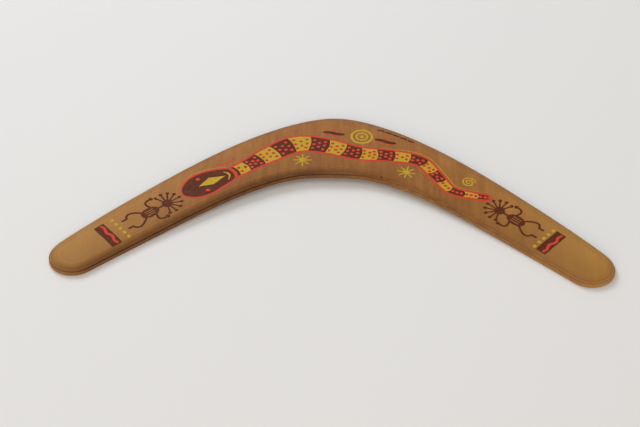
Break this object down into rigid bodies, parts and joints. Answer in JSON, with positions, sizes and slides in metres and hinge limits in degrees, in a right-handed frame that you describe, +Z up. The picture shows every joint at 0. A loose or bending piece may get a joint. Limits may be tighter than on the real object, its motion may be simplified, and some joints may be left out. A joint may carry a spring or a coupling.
{
  "type": "boomerang",
  "caption": "Two-armed boomerang of laminated wood, bevelled all round, with rounded tips, a slight warp and a painted banded snake, stars, rings, blocks and figures on its face.",
  "frame": {"origin": "under the middle of the outline, on the surface that the tips and the back of the elbow rest on", "axes": "+Z up out of the painted face, +Y towards the elbow, X along the line from tip to tip"},
  "size_m": [0.4572, 0.1945, 0.0115],
  "materials": {
    "face_wood": "rotary-cut face veneer, grain along Y, satin varnish",
    "cross_wood": "paler cross veneer seen at the bevelled edges, satin varnish",
    "core_wood": "core veneer seen as end grain at the edge, satin varnish",
    "glue": "hard dark resin glue line",
    "brown_paint": "dark brown brushed paint under satin varnish",
    "red_paint": "red brushed paint under satin varnish",
    "yellow_paint": "yellow ochre brushed paint under satin varnish"
  },
  "bodies": {
    "root": {"back_veneer": "face_wood", "glue_line_1": "glue", "lower_cross_veneer": "cross_wood", "glue_line_2": "glue", "core_veneer": "core_wood", "glue_line_3": "glue", "upper_cross_veneer": "cross_wood", "glue_line_4": "glue", "face_veneer": "face_wood", "snake_outline": "red_paint", "snake_head": "brown_paint", "neck_ring_red": "red_paint", "neck_ring_brown": "brown_paint", "yellow_band_1": "yellow_paint", "brown_band_1": "brown_paint", "yellow_band_2": "yellow_paint", "brown_band_2": "brown_paint", "yellow_band_3": "yellow_paint", "brown_band_3": "brown_paint", "yellow_band_4": "yellow_paint", "brown_band_4": "brown_paint", "yellow_band_5": "yellow_paint", "brown_band_5": "brown_paint", "yellow_band_6": "yellow_paint", "brown_band_6": "brown_paint", "yellow_band_7": "yellow_paint", "brown_band_7": "brown_paint", "yellow_band_8": "yellow_paint", "brown_band_8": "brown_paint", "yellow_band_9": "yellow_paint", "brown_band_9": "brown_paint", "head_lozenge": "yellow_paint", "head_crescent": "yellow_paint", "back_eye": "red_paint", "front_eye": "red_paint", "target_outer_ring": "yellow_paint", "target_inner_ring": "yellow_paint", "target_dot": "yellow_paint", "left_star": "yellow_paint", "right_star": "yellow_paint", "spiral": "yellow_paint", "left_dash": "brown_paint", "right_dash": "brown_paint", "left_block": "brown_paint", "left_wave": "red_paint", "left_dot_1": "yellow_paint", "left_dot_2": "yellow_paint", "left_dot_3": "yellow_paint", "left_dot_4": "yellow_paint", "left_dot_5": "yellow_paint", "left_figure": "brown_paint", "right_block": "brown_paint", "right_wave": "red_paint", "right_dot_1": "yellow_paint", "right_dot_2": "yellow_paint", "right_dot_3": "yellow_paint", "right_dot_4": "yellow_paint", "right_dot_5": "yellow_paint", "right_figure": "brown_paint"}
  },
  "joints": []
}
